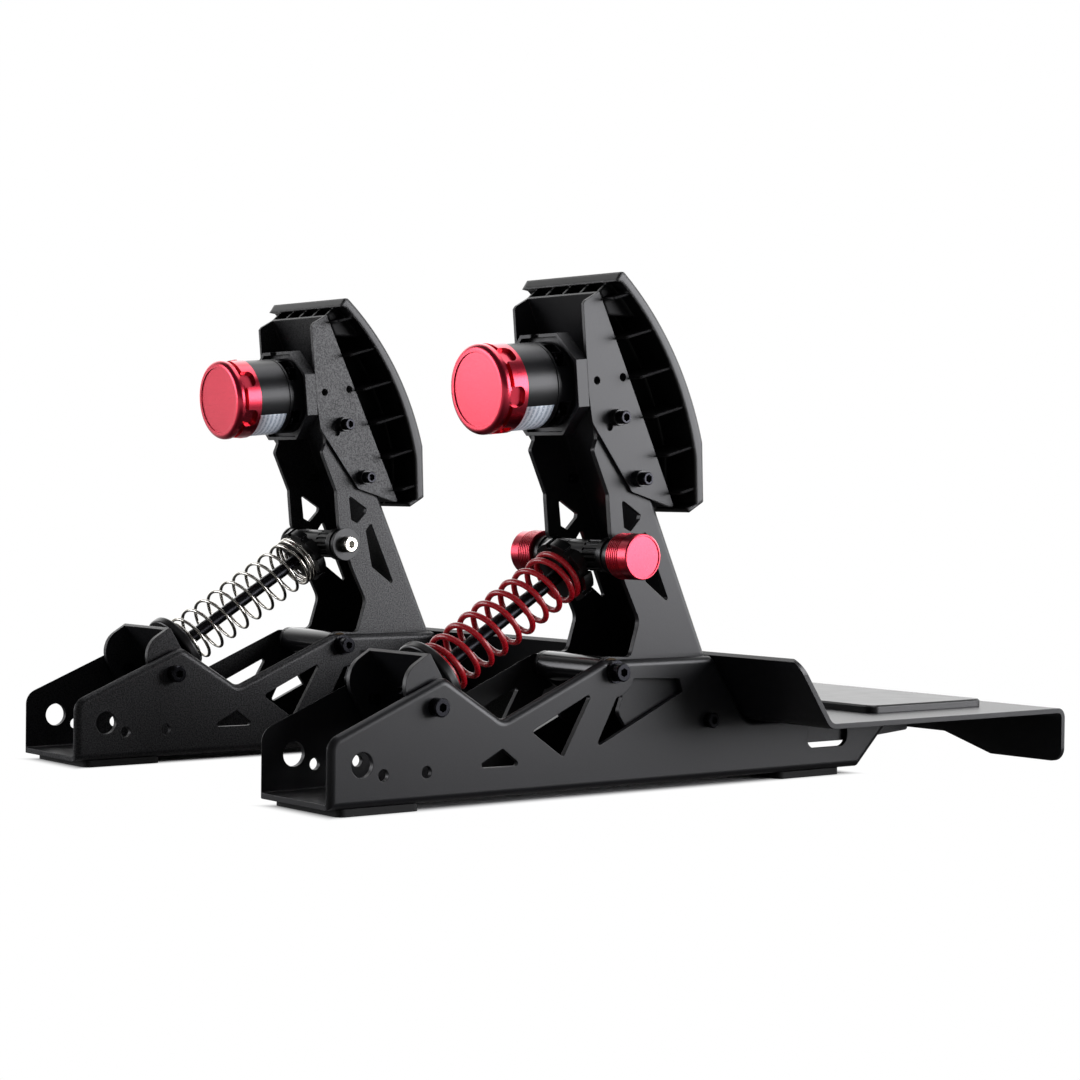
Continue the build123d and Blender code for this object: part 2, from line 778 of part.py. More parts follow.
# One grooved knob on the end of the cross shaft
def make_knob(name, centre, kind, side):
    seat = side_seat(centre + side * (arm_half + kind["collar"] + gap), shaft, side)
    with BuildPart() as knob:
        with BuildSketch(seat):
            Circle(knob_radius)
        extrude(amount=knob_length)
        ends = knob.edges().filter_by(GeomType.CIRCLE).group_by(Axis.X)
        chamfer(ends[0] + ends[-1], knob_chamfer)
        for step in range(knob_groove_count):
            with BuildSketch(seat.offset(knob_groove_start + step * knob_groove_pitch)):
                Circle(knob_radius + overrun)
                Circle(knob_radius - knob_groove, mode=Mode.SUBTRACT)
            extrude(amount=knob_groove_pitch / 2, mode=Mode.SUBTRACT)
        with BuildSketch(seat.offset(knob_length)):
            Circle(knob_radius - knob_rim)
        extrude(amount=-knob_dish, mode=Mode.SUBTRACT)
        with BuildSketch(seat):
            Circle(shaft_radius + running_fit)
        extrude(amount=knob_bore_depth, mode=Mode.SUBTRACT)
    save(knob.part, name + ("_knob_right" if side > 0 else "_knob_left"))


# The folded yoke at the foot of the strut
def make_yoke(name, centre, kind):
    side_view = Plane(
        origin=(centre - yoke_width / 2, *strut_foot),
        x_dir=(0, strut_run, strut_rise), z_dir=(1, 0, 0),
    )
    with BuildPart() as yoke:
        with BuildSketch(side_view):
            with BuildLine():
                FilletPolyline(
                    (-yoke_nose, -yoke_half_depth), (yoke_seat, -yoke_half_depth),
                    (yoke_seat, yoke_half_depth), (-yoke_nose, yoke_half_depth),
                    radius=[yoke_round, inner_bend, inner_bend, yoke_round], close=True,
                )
            make_face()
        extrude(amount=yoke_width)
        with BuildSketch(side_view.offset(sheet)):
            with Locations((yoke_seat - sheet, 0)):
                Rectangle(
                    2 * yoke_half_depth, 3 * yoke_half_depth, align=(Align.MAX, Align.CENTER)
                )
        extrude(amount=yoke_width - 2 * sheet, mode=Mode.SUBTRACT)
        for side in (-1, 1):
            with BuildSketch(side_seat(centre + side * yoke_width / 2, strut_foot, side)):
                Circle(yoke_boss)
            extrude(amount=(inner_width - yoke_width) / 2 - gap)
        with BuildSketch(side_view.offset(-sheet)):
            Circle(m6_shank + running_fit)
        extrude(amount=yoke_width + 2 * sheet, mode=Mode.SUBTRACT)
        with BuildSketch(strut_plane(centre, yoke_seat)):
            Circle(rod_radius + kind["bore_play"])
        extrude(amount=-2 * sheet, mode=Mode.SUBTRACT)
    save(yoke.part, name + "_strut_yoke")


# The cup that the spring stands on; the brake's stands on its load cell
def make_cup(name, centre, kind):
    bore = rod_radius + kind["bore_play"]
    with BuildPart() as cup:
        with BuildSketch(strut_plane(centre, cup_base)):
            Circle(cup_radius)
        extrude(amount=cup_seat - cup_base)
        fillet(cup.edges(), cup_round)
        with BuildSketch(strut_plane(centre, cup_seat)):
            Circle(kind["coil_radius"] - kind["wire"] / 2 - gap)
        extrude(amount=cup_pilot)
        if name == "throttle":
            with BuildSketch(strut_plane(centre, yoke_seat)):
                Circle(cup_hub)
            extrude(amount=cup_base - yoke_seat)
        with BuildSketch(strut_plane(centre, yoke_seat)):
            Circle(bore)
        extrude(amount=cup_seat + cup_pilot - yoke_seat, mode=Mode.SUBTRACT)
    save(cup.part, name + "_spring_cup")
    if name == "brake":
        with BuildPart() as cell:
            with BuildSketch(strut_plane(centre, yoke_seat)):
                Circle(load_cell_radius)
                Circle(bore, mode=Mode.SUBTRACT)
            extrude(amount=cup_base - yoke_seat)
        save(cell.part, name + "_load_cell")


# The rod with its stop nut, the adjuster ring on it and the eye at its head
def make_rod(name, centre, kind):
    nut_top = yoke_seat - sheet - gap
    ring_top = kind["ring_base"] + kind["ring_height"]
    with BuildPart() as rod:
        with BuildSketch(strut_plane(centre, rod_tail)):
            Circle(rod_radius)
        extrude(amount=rod_head - rod_tail)
        with BuildSketch(strut_plane(centre, nut_top)):
            RegularPolygon(rod_nut, 6)
        extrude(amount=-rod_nut_height)
    save(rod.part, name + "_strut_rod")
    with BuildPart() as ring:
        with BuildSketch(strut_plane(centre, kind["ring_base"])):
            Circle(kind["ring_radius"])
            with PolarLocations(kind["ring_radius"], ring_slot_count):
                Rectangle(2 * ring_slot_depth, ring_slot_width, mode=Mode.SUBTRACT)
            Circle(rod_radius + running_fit, mode=Mode.SUBTRACT)
        extrude(amount=kind["ring_height"])
    save(ring.part, name + "_adjuster_ring")
    with BuildPart() as eye:
        with BuildSketch(Plane.YZ.offset(centre - eye_width / 2)):
            with Locations(shaft):
                Circle(eye_radius)
        extrude(amount=eye_width)
        with BuildSketch(strut_plane(centre, ring_top + gap)):
            Circle(neck_radius)
        extrude(amount=strut_length - ring_top - gap)
        with BuildSketch(Plane.YZ.offset(centre - eye_width)):
            with Locations(shaft):
                Circle(shaft_radius + running_fit)
        extrude(amount=2 * eye_width, mode=Mode.SUBTRACT)
        with BuildSketch(strut_plane(centre, ring_top)):
            Circle(rod_radius + running_fit)
        extrude(amount=rod_head - ring_top + running_fit, mode=Mode.SUBTRACT)
    save(eye.part, name + "_rod_eye")


# The coil spring: one tube swept along pairs of arcs, a pair to each quarter turn
def make_spring(name, centre, kind):
    wire = kind["wire"]
    turns = kind["turns"]
    low = cup_seat + gap / 2 + wire / 2
    high = kind["ring_base"] - gap / 2 - wire / 2
    closed_pitch = wire + closed_gap
    closed = kind["low_closed"] + kind["high_closed"]
    free_turns = turns - closed - spring_ramp
    pitch = (high - low - closed_pitch * (closed + spring_ramp)) / free_turns
    ramp_low = kind["low_closed"]
    ramp_high = turns - kind["high_closed"] - spring_ramp

    def climb(turn):
        rise = closed_pitch * turn
        for start, sign in ((ramp_low, 1), (ramp_high, -1)):
            part = min(max(turn - start, 0), spring_ramp)
            ramped = part * part / (2 * spring_ramp) + max(turn - start - spring_ramp, 0)
            rise += sign * (pitch - closed_pitch) * ramped
        return rise

    base = strut_plane(centre, low)

    def point(turn):
        angle = math.radians(kind["start_angle"] + 360 * turn)
        across = base.x_dir * math.cos(angle) + base.y_dir * math.sin(angle)
        return base.origin + across * kind["coil_radius"] + base.z_dir * climb(turn)

    def heading(turn):
        return (point(turn + heading_step) - point(turn - heading_step)).normalized()

    quarters = [step / 4 for step in range(round(4 * turns) + 1)]
    points = [point(turn) for turn in quarters]
    headings = [heading(turn) for turn in quarters]
    with BuildPart() as spring:
        tip = points[0] - headings[0] * wire
        with BuildLine():
            Line(tip, points[0])
            for start, end, leave, arrive in zip(points, points[1:], headings, headings[1:]):
                chord = end - start
                both = leave + arrive
                spread = 2 * (1 - leave.dot(arrive))
                reach = chord.dot(both)
                arm = (math.sqrt(reach**2 + spread * chord.dot(chord)) - reach) / spread
                joint = (start + leave * arm + end - arrive * arm) / 2
                TangentArc(start, joint, tangent=leave)
                TangentArc(joint, end, tangent=end - arrive * arm - joint)
            Line(points[-1], points[-1] + headings[-1] * wire)
        with BuildSketch(Plane(origin=tip, z_dir=headings[0])):
            Circle(wire / 2)
        sweep()
    fine = [point(step / measure_steps) for step in range(round(turns * measure_steps) + 1)]
    near = round(measure_steps * measure_from)
    far = round(measure_steps * measure_to)
    least = min(
        (first - second).length
        for place, first in enumerate(fine)
        for second in fine[place + near:place + far]
    )
    print(name, "spring: pitch", round(pitch, 2), "least gap to itself", round(least - wire, 2))
    save(spring.part, name + "_spring")


# The folded heel plate: a leaning front flange, a level plate and a skirt behind
def make_heel_plate():
    flange_top = side_point(heel_foot_back - heel_lean, side_height)
    flange_foot = side_point(heel_foot_back, heel_up)
    skirt_inner = -overall_length / 2 + sheet
    skirt_low = foot_height + heel_skirt_up
    arch = foot_height + heel_skirt_arch_up
    half = heel_width / 2
    leg = half - heel_leg_width
    top = foot_height + side_height
    with BuildPart() as plate:
        with BuildSketch(Plane.YZ.offset(-half)):
            with BuildLine():
                FilletPolyline(
                    flange_top, flange_foot, (skirt_inner, flange_foot[1]),
                    (skirt_inner, skirt_low), radius=[heel_bend, sheet],
                )
                offset(amount=sheet, side=Side.RIGHT)
            make_face()
        extrude(amount=heel_width)
        with BuildSketch(Plane.XZ.offset(-front)):
            with BuildLine():
                FilletPolyline(
                    (-half, skirt_low), (-leg, skirt_low), (heel_leg_slope - leg, arch),
                    (leg - heel_leg_slope, arch), (leg, skirt_low), (half, skirt_low),
                    (half, top + sheet), (-half, top + sheet),
                    radius=[
                        heel_low_round, heel_low_round, heel_low_round, heel_low_round,
                        heel_low_round, heel_low_round, heel_top_round, heel_top_round,
                    ],
                    close=True,
                )
            make_face()
        extrude(amount=overall_length, mode=Mode.INTERSECT)
        with BuildSketch(Plane.XY.offset(flange_foot[1])):
            with Locations(heel_screw_places):
                Circle(m5_shank + running_fit)
        extrude(amount=sheet, mode=Mode.SUBTRACT)
    save(plate.part, "heel_plate")


# The mat that the heels rest on
def make_heel_mat():
    back = mat_front_back + mat_depth / 2
    top = foot_height + heel_up + sheet
    with BuildPart() as mat:
        with BuildSketch(Plane.XY.offset(top)):
            with Locations((0, front - back)):
                RectangleRounded(mat_width, mat_depth, mat_round)
        extrude(amount=mat_height)
        chamfer(mat.edges().group_by(Axis.Z)[-1], mat_chamfer)
    save(mat.part, "heel_mat")


# The channels under the heel plate, bolted between the side plates of each frame
def make_heel_brackets():
    width = inner_width - 2 * heel_bracket_side
    points = [
        side_point(bracket_nose_back, frame_bolt_up - heel_bracket_ear),
        side_point(bracket_nose_back, frame_bolt_up + heel_bracket_ear),
        side_point(frame_bolt_back + heel_bracket_ear, frame_bolt_up + heel_bracket_ear),
        side_point(heel_foot_back - heel_bend, heel_up),
        side_point(bracket_tail_back, heel_up),
        side_point(bracket_tail_back, heel_up - heel_bracket_tail),
        side_point(frame_length, heel_bracket_low_up),
        side_point(heel_foot_back, heel_bracket_low_up),
    ]
    web_start = side_point(heel_foot_back, heel_up - sheet)
    with BuildPart() as brackets:
        for kind in modules.values():
            start = kind["centre"] - width / 2
            with BuildSketch(Plane.YZ.offset(start)):
                with BuildLine():
                    FilletPolyline(*points, radius=small_round, close=True)
                make_face()
            extrude(amount=width)
            with BuildSketch(Plane.YZ.offset(start + sheet)):
                with Locations(web_start):
                    Rectangle(overall_length, side_height, align=(Align.CENTER, Align.MAX))
                    Rectangle(overall_length, side_height, align=(Align.MIN, Align.CENTER))
            extrude(amount=width - 2 * sheet, mode=Mode.SUBTRACT)
        with BuildSketch(Plane.YZ.offset(-overall_length)):
            with Locations(side_point(frame_bolt_back, frame_bolt_up)):
                Circle(m5_shank + running_fit)
        extrude(amount=2 * overall_length, mode=Mode.SUBTRACT)
        with BuildSketch(Plane.XY.offset(web_start[1])):
            with Locations(heel_screw_places):
                Circle(m5_shank + running_fit)
        extrude(amount=sheet, mode=Mode.SUBTRACT)
    save(brackets.part, "heel_brackets")


# Rubber feet under both ends of both frames
def make_feet():
    width = frame_width - 2 * foot_inset
    with BuildPart() as feet:
        with BuildSketch():
            for kind in modules.values():
                for back in foot_backs:
                    with Locations((kind["centre"], front - back - foot_length / 2)):
                        RectangleRounded(width, foot_length, foot_round)
        extrude(amount=foot_height)
    save(feet.part, "rubber_feet")


# Sensor housings on the floor of each frame, below the tail of the arm
def make_sensors():
    with BuildPart() as sensors:
        with BuildSketch(Plane.XY.offset(foot_height + sheet)):
            for kind in modules.values():
                with Locations((kind["centre"], front - sensor_back - sensor_length / 2)):
                    RectangleRounded(sensor_width, sensor_length, small_round)
        extrude(amount=sensor_height)
    save(sensors.part, "angle_sensors")


# The axle tube across each frame that the arm turns on
def make_axles():
    with BuildPart() as axles:
        for kind in modules.values():
            with BuildSketch(Plane.YZ.offset(kind["centre"] - inner_width / 2)):
                with Locations(pivot):
                    Circle(axle_radius)
                    Circle(m6_shank + running_fit, mode=Mode.SUBTRACT)
            extrude(amount=inner_width)
    save(axles.part, "pivot_axles")


# Spacers under the bracket's screws, and the screws on them
def make_bracket_fasteners(name, centre):
    places = placed(bracket_screw_shares, bracket_foot, pad_height, pad_height)
    start = bracket_width / 2
    with BuildPart() as spacers:
        for side in (-1, 1):
            with BuildSketch(Plane.YZ.offset(centre + side * start)):
                with Locations(places):
                    Circle(spacer_radius)
                    Circle(m5_shank + running_fit, mode=Mode.SUBTRACT)
            extrude(amount=side * spacer_height)
    save(spacers.part, name + "_bracket_spacers")
    grip = start + spacer_height - arm_inner_half + sheet
    screw = socket_screw(m5_shank, bracket_head, m5_head_height, m5_socket, grip, 0)
    seats = [
        side_seat(centre + side * (start + spacer_height), place, side)
        for side in (-1, 1)
        for place in places
    ]
    save_screws(screw, seats, name + "_bracket_screws")


# The motor's screws, in its four recesses
def make_motor_screws(name, centre):
    seat = cap_plane(centre, motor_length - motor_wall)
    grip = motor_wall + tray_sheet
    screw = socket_screw(m4_shank, m4_head, m4_head_height, m4_socket, grip, 0)
    with BuildPart() as screws:
        with Locations(seat):
            with PolarLocations(motor_screw_circle, motor_screw_count, start_angle=45):
                add(screw)
    save(screws.part, name + "_motor_screws")


# Seats for a screw on both outer faces of both frames
def frame_seats(point):
    return [
        side_seat(kind["centre"] + side * frame_width / 2, point, side)
        for kind in modules.values()
        for side in (-1, 1)
    ]


heel_screw_places = [
    (kind["centre"] + side * heel_screw_half, front - back)
    for kind in modules.values()
    for side in (-1, 1)
    for back in heel_screw_backs
]

os.makedirs("parts", exist_ok=True)
for name, kind in modules.items():
    centre = kind["centre"]
    make_frame(name, centre)
    make_arm(name, centre)
    make_bushes(name, centre)
    make_hub(name, centre)
    make_bracket(name, centre)
    make_bracket_fasteners(name, centre)
    make_pad(name, centre)
    make_tray(name, centre)
    make_motor_body(name, centre)
    make_motor_screws(name, centre)
    make_rotor(name, centre)
    make_cap(name, centre, kind["cap_phase"])
    make_shaft(name, centre, kind)
    make_sleeves(name, centre, kind)
    make_yoke(name, centre, kind)
    make_cup(name, centre, kind)
    make_rod(name, centre, kind)
    make_spring(name, centre, kind)

brake = modules["brake"]
throttle = modules["throttle"]
make_knob("brake", brake["centre"], brake, -1)
make_knob("brake", brake["centre"], brake, 1)
shaft_end = arm_half + throttle["collar"]
shaft_screw = socket_screw(m6_shank, m6_head, m6_head_height, m6_socket, shaft_screw_reach, 0)
shaft_seats = [side_seat(throttle["centre"] + side * shaft_end, shaft, side) for side in (-1, 1)]
save_screws(shaft_screw, shaft_seats, "throttle_shaft_screws")

pivot_screw = socket_screw(
    m6_shank, m6_head, m6_head_height, m6_socket, screw_reach, screw_flange
)
save_screws(pivot_screw, frame_seats(pivot), "pivot_screws")
strut_grip = frame_width / 2 - yoke_width / 2 + sheet + strut_bolt_end
strut_bolt = socket_screw(m6_shank, m6_head, m6_head_height, m6_socket, strut_grip, 0)
save_screws(strut_bolt, frame_seats(strut_foot), "strut_bolts")
frame_bolt = socket_screw(m5_shank, m5_head, m5_head_height, m5_socket, frame_bolt_grip, 0)
frame_bolt_point = side_point(frame_bolt_back, frame_bolt_up)
save_screws(frame_bolt, frame_seats(frame_bolt_point), "frame_bolts")

make_heel_plate()
make_heel_mat()
make_heel_brackets()
make_feet()
make_sensors()
make_axles()
heel_top = foot_height + heel_up + sheet
heel_screw = socket_screw(
    m5_shank, m5_head, heel_head_height, m5_socket, heel_screw_grip, 0
)
heel_seats = [Plane(origin=(*place, heel_top)) for place in heel_screw_places]
save_screws(heel_screw, heel_seats, "heel_screws")
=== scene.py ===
import json
import math

import bmesh
import bpy
from mathutils import Matrix, Quaternion, Vector


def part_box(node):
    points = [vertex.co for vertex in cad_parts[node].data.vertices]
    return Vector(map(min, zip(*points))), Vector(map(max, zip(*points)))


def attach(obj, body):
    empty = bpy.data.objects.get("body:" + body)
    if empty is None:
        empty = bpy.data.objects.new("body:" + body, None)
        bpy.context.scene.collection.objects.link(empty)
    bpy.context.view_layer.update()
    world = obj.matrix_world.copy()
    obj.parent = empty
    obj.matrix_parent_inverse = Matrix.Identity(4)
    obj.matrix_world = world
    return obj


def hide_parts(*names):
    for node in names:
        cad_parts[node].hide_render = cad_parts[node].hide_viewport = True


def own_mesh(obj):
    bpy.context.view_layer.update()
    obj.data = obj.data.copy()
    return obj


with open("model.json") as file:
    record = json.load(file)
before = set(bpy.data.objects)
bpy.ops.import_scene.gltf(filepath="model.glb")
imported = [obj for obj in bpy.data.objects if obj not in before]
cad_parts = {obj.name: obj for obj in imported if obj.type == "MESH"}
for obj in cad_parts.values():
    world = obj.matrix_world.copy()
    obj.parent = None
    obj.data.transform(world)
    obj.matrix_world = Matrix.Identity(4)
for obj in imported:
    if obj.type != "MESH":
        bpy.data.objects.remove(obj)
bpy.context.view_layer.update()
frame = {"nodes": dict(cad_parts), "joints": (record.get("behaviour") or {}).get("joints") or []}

# Places and directions that the pieces below take from the frame, in metres
JOINTS = {joint["name"]: joint for joint in frame["joints"]}
MODULE_X = JOINTS["throttle_arm_hinge"]["pos_m"][0]
ACROSS = Vector((1, 0, 0))

# The spring's seat in the cup, from the strut's foot along the strut, and the room left under it
CUP_SEAT = 0.026
SEAT_GAP = 0.00015

# The label's edges, from the motor's seat along its axis, and its angles below level
LABEL_FAR, LABEL_NEAR = 0.0351, 0.0163
LABEL_START, LABEL_END = math.radians(-27), math.radians(-92)
LABEL_RADIUS = 0.02362
FILM_THICKNESS = 0.00008

# The flat underside of each frame, along Y, round which the floor has a painted shadow patch
SOLE_MIDDLE = 0.0538
SOLE_HALF_LENGTH = 0.188


def half_width(name):
    """Half of a node's width, from side to side."""
    low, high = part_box(name)
    return (high[0] - low[0]) / 2


# Camera, at the photograph's viewing angle

def make_camera():
    lens = bpy.data.cameras.new("photo_camera")
    lens.lens = 82.17
    lens.sensor_width = 36.0
    camera = bpy.data.objects.new("photo_camera", lens)
    bpy.context.scene.collection.objects.link(camera)
    view = Vector((0.78165, -0.62341, -0.01956))
    roll = Quaternion((0, 0, 1), math.radians(0.674))
    camera.location = (-1.187, 0.92424, 0.16451)
    camera.rotation_mode = "QUATERNION"
    camera.rotation_quaternion = view.to_track_quat("-Z", "Y") @ roll
    bpy.context.scene.camera = camera


make_camera()
bpy.context.scene.view_settings.view_transform = "Standard"


# Helpers for materials

# A pattern's scale is this over its size in millimetres
MM_IN_METRE = 1000

# Nearly all values of a noise texture lie between these
NOISE_LOW, NOISE_HIGH = 0.3, 0.7


def linear(hex_colour):
    """An sRGB hex colour as linear RGBA."""
    parts = [int(hex_colour[i:i + 2], 16) / 255 for i in (1, 3, 5)]
    return [c / 12.92 if c <= 0.04045 else ((c + 0.055) / 1.055) ** 2.4 for c in parts] + [1.0]


def node(tree, kind, inputs=None, **settings):
    """Adds a node; inputs maps a socket to a value or to another node's socket."""
    made = tree.nodes.new(kind)
    for key, value in settings.items():
        setattr(made, key, value)
    for key, value in (inputs or {}).items():
        if isinstance(value, bpy.types.NodeSocket):
            tree.links.new(value, made.inputs[key])
        else:
            made.inputs[key].default_value = value
    return made


def outside(tree, value, middle, half):
    """How far a value lies beyond a stretch, which is given by its middle and half its length."""
    across = node(tree, "ShaderNodeMath", {0: value, 1: middle}, operation="SUBTRACT")
    aside = node(tree, "ShaderNodeMath", {0: across.outputs[0]}, operation="ABSOLUTE")
    beyond = node(tree, "ShaderNodeMath", {0: aside.outputs[0], 1: half}, operation="SUBTRACT")
    return beyond.outputs[0]


def beside_module(tree, place, half):
    """How far a point lies to the side of the nearer module's stretch of this half width."""
    split = node(tree, "ShaderNodeSeparateXYZ", {"Vector": place.outputs["Object"]})
    either = node(tree, "ShaderNodeMath", {0: split.outputs["X"]}, operation="ABSOLUTE")
    return outside(tree, either.outputs[0], MODULE_X, half)


def blank_material(name):
    material = bpy.data.materials.new(name)
    material.use_nodes = True
    material.node_tree.nodes.clear()
    return material, material.node_tree


# Materials; a size whose name ends in mm and every depth of relief are in millimetres

def powder_coat(
        name, dark, light, roughness, sheen, sparkle, peel_mm, peel_depth, grit_mm, grit_depth):
    """Baked powder or stoved enamel on steel: black with a satin sheen and softened edges.

    Broad orange peel makes the sheen ripple, and the fine grit on it keeps the sheen soft.
    Sparkle is how far the grains differ in sheen. The black drifts a little between two tones.
    """
    drift_mm, edge_mm = 24.0, 0.45
    spread = 0.04
    dull_grain, bright_grain = 0.38, 0.62
    material, tree = blank_material(name)
    place = node(tree, "ShaderNodeTexCoord")
    peel = node(tree, "ShaderNodeTexNoise", {
        "Vector": place.outputs["Object"], "Scale": MM_IN_METRE / peel_mm, "Detail": 1.0})
    grit = node(tree, "ShaderNodeTexNoise", {
        "Vector": place.outputs["Object"], "Scale": MM_IN_METRE / grit_mm, "Detail": 3.0,
        "Roughness": 0.6})
    drift = node(tree, "ShaderNodeTexNoise", {
        "Vector": place.outputs["Object"], "Scale": MM_IN_METRE / drift_mm, "Detail": 2.0})
    colour = node(tree, "ShaderNodeMix", {
        "Factor": drift.outputs["Fac"], "A": linear(dark), "B": linear(light),
    }, data_type="RGBA")
    rough = node(tree, "ShaderNodeMapRange", {
        "Value": grit.outputs["Fac"], "From Min": NOISE_LOW, "From Max": NOISE_HIGH,
        "To Min": roughness - spread, "To Max": roughness + spread})
    grains = node(tree, "ShaderNodeMapRange", {
        "Value": grit.outputs["Fac"], "From Min": dull_grain, "From Max": bright_grain,
        "To Min": sheen - sparkle, "To Max": sheen + sparkle})
    edge = node(tree, "ShaderNodeBevel", {"Radius": edge_mm / MM_IN_METRE}, samples=6)
    rippled = node(tree, "ShaderNodeBump", {
        "Height": peel.outputs["Fac"], "Distance": peel_depth / MM_IN_METRE,
        "Normal": edge.outputs[0]})
    gritty = node(tree, "ShaderNodeBump", {
        "Height": grit.outputs["Fac"], "Distance": grit_depth / MM_IN_METRE,
        "Normal": rippled.outputs[0]})
    shader = node(tree, "ShaderNodeBsdfPrincipled", {
        "Base Color": colour.outputs["Result"], "Roughness": rough.outputs[0],
        "IOR": 1.5, "Specular IOR Level": grains.outputs[0], "Normal": gritty.outputs[0]})
    node(tree, "ShaderNodeOutputMaterial", {"Surface": shader.outputs[0]})
    return material


def moulded(name, dark, light, roughness, sheen, grain_mm, grain_depth):
    """ABS or rubber from an eroded tool: an even, fine grain with softened edges."""
    flow_mm, edge_mm = 14.0, 0.5
    spread = 0.015
    material, tree = blank_material(name)
    place = node(tree, "ShaderNodeTexCoord")
    skin = node(tree, "ShaderNodeTexVoronoi", {
        "Vector": place.outputs["Object"], "Scale": MM_IN_METRE / grain_mm,
    }, feature="SMOOTH_F1")
    flow = node(tree, "ShaderNodeTexNoise", {
        "Vector": place.outputs["Object"], "Scale": MM_IN_METRE / flow_mm, "Detail": 2.0})
    colour = node(tree, "ShaderNodeMix", {
        "Factor": flow.outputs["Fac"], "A": linear(dark), "B": linear(light),
    }, data_type="RGBA")
    rough = node(tree, "ShaderNodeMapRange", {
        "Value": flow.outputs["Fac"], "From Min": NOISE_LOW, "From Max": NOISE_HIGH,
        "To Min": roughness - spread, "To Max": roughness + spread})
    edge = node(tree, "ShaderNodeBevel", {"Radius": edge_mm / MM_IN_METRE}, samples=6)
    grained = node(tree, "ShaderNodeBump", {
        "Height": skin.outputs["Distance"], "Distance": grain_depth / MM_IN_METRE,
        "Normal": edge.outputs[0]})
    shader = node(tree, "ShaderNodeBsdfPrincipled", {
        "Base Color": colour.outputs["Result"], "Roughness": rough.outputs[0],
        "IOR": 1.49, "Specular IOR Level": sheen, "Normal": grained.outputs[0]})
    node(tree, "ShaderNodeOutputMaterial", {"Surface": shader.outputs[0]})
    return material


def pad_moulding(name):
    """Glass-filled nylon of the foot pads: satin outside, and on the ribs' inner sides a lowered
    sheen that is painted shade in the pad's hollow.

    The outside is what lies at the pad's flanks, with every face that isn't turned sideways.
    """
    grain_mm, grain_depth = 0.6, 0.015
    edge_mm = 2.6
    rim_start, rim_end = -0.0008, -0.0004
    turned_sideways = 0.7
    # Sheen of the painted shade on the ribs' sides, and of the satin outside
    painted_shade_sheen, satin = 0.12, 0.62
    material, tree = blank_material(name)
    place = node(tree, "ShaderNodeTexCoord")
    skin = node(tree, "ShaderNodeTexVoronoi", {
        "Vector": place.outputs["Object"], "Scale": MM_IN_METRE / grain_mm,
    }, feature="SMOOTH_F1")
    flank = beside_module(tree, place, half_width("brake_pedal_pad"))
    rim = node(tree, "ShaderNodeMapRange", {
        "Value": flank, "From Min": rim_start, "From Max": rim_end})
    facing = node(tree, "ShaderNodeNewGeometry")
    turned = node(tree, "ShaderNodeSeparateXYZ", {"Vector": facing.outputs["True Normal"]})
    sideways = node(tree, "ShaderNodeMath", {0: turned.outputs["X"]}, operation="ABSOLUTE")
    level = node(tree, "ShaderNodeMath", {
        0: sideways.outputs[0], 1: turned_sideways}, operation="LESS_THAN")
    # Faces turned sideways inside the rim take painted shade, a lower sheen
    smooth = node(tree, "ShaderNodeMath", {
        0: rim.outputs[0], 1: level.outputs[0]}, operation="MAXIMUM")
    sheen = node(tree, "ShaderNodeMapRange", {
        "Value": smooth.outputs[0], "To Min": painted_shade_sheen, "To Max": satin})
    edge = node(tree, "ShaderNodeBevel", {"Radius": edge_mm / MM_IN_METRE}, samples=10)
    grained = node(tree, "ShaderNodeBump", {
        "Height": skin.outputs["Distance"], "Distance": grain_depth / MM_IN_METRE,
        "Normal": edge.outputs[0]})
    shader = node(tree, "ShaderNodeBsdfPrincipled", {
        "Base Color": linear("#060607"), "Roughness": 0.42, "IOR": 1.49,
        "Specular IOR Level": sheen.outputs[0], "Normal": grained.outputs[0]})
    node(tree, "ShaderNodeOutputMaterial", {"Surface": shader.outputs[0]})
    return material


def bare_metal(name, dark, light, roughness, grain_mm, grain_depth):
    """Plated, blackened or turned steel and bronze: full reflections, softened by fine marks."""
    edge_mm = 0.2
    smoother, rougher = 0.04, 0.06
    material, tree = blank_material(name)
    place = node(tree, "ShaderNodeTexCoord")
    marks = node(tree, "ShaderNodeTexNoise", {
        "Vector": place.outputs["Object"], "Scale": MM_IN_METRE / grain_mm, "Detail": 3.0})
    colour = node(tree, "ShaderNodeMix", {
        "Factor": marks.outputs["Fac"], "A": linear(dark), "B": linear(light),
    }, data_type="RGBA")
    rough = node(tree, "ShaderNodeMapRange", {
        "Value": marks.outputs["Fac"], "From Min": NOISE_LOW, "From Max": NOISE_HIGH,
        "To Min": roughness - smoother, "To Max": roughness + rougher})
    edge = node(tree, "ShaderNodeBevel", {"Radius": edge_mm / MM_IN_METRE}, samples=6)
    marked = node(tree, "ShaderNodeBump", {
        "Height": marks.outputs["Fac"], "Distance": grain_depth / MM_IN_METRE,
        "Normal": edge.outputs[0]})
    shader = node(tree, "ShaderNodeBsdfPrincipled", {
        "Base Color": colour.outputs["Result"], "Metallic": 1.0,
        "Roughness": rough.outputs[0], "Normal": marked.outputs[0]})
    node(tree, "ShaderNodeOutputMaterial", {"Surface": shader.outputs[0]})
    return material


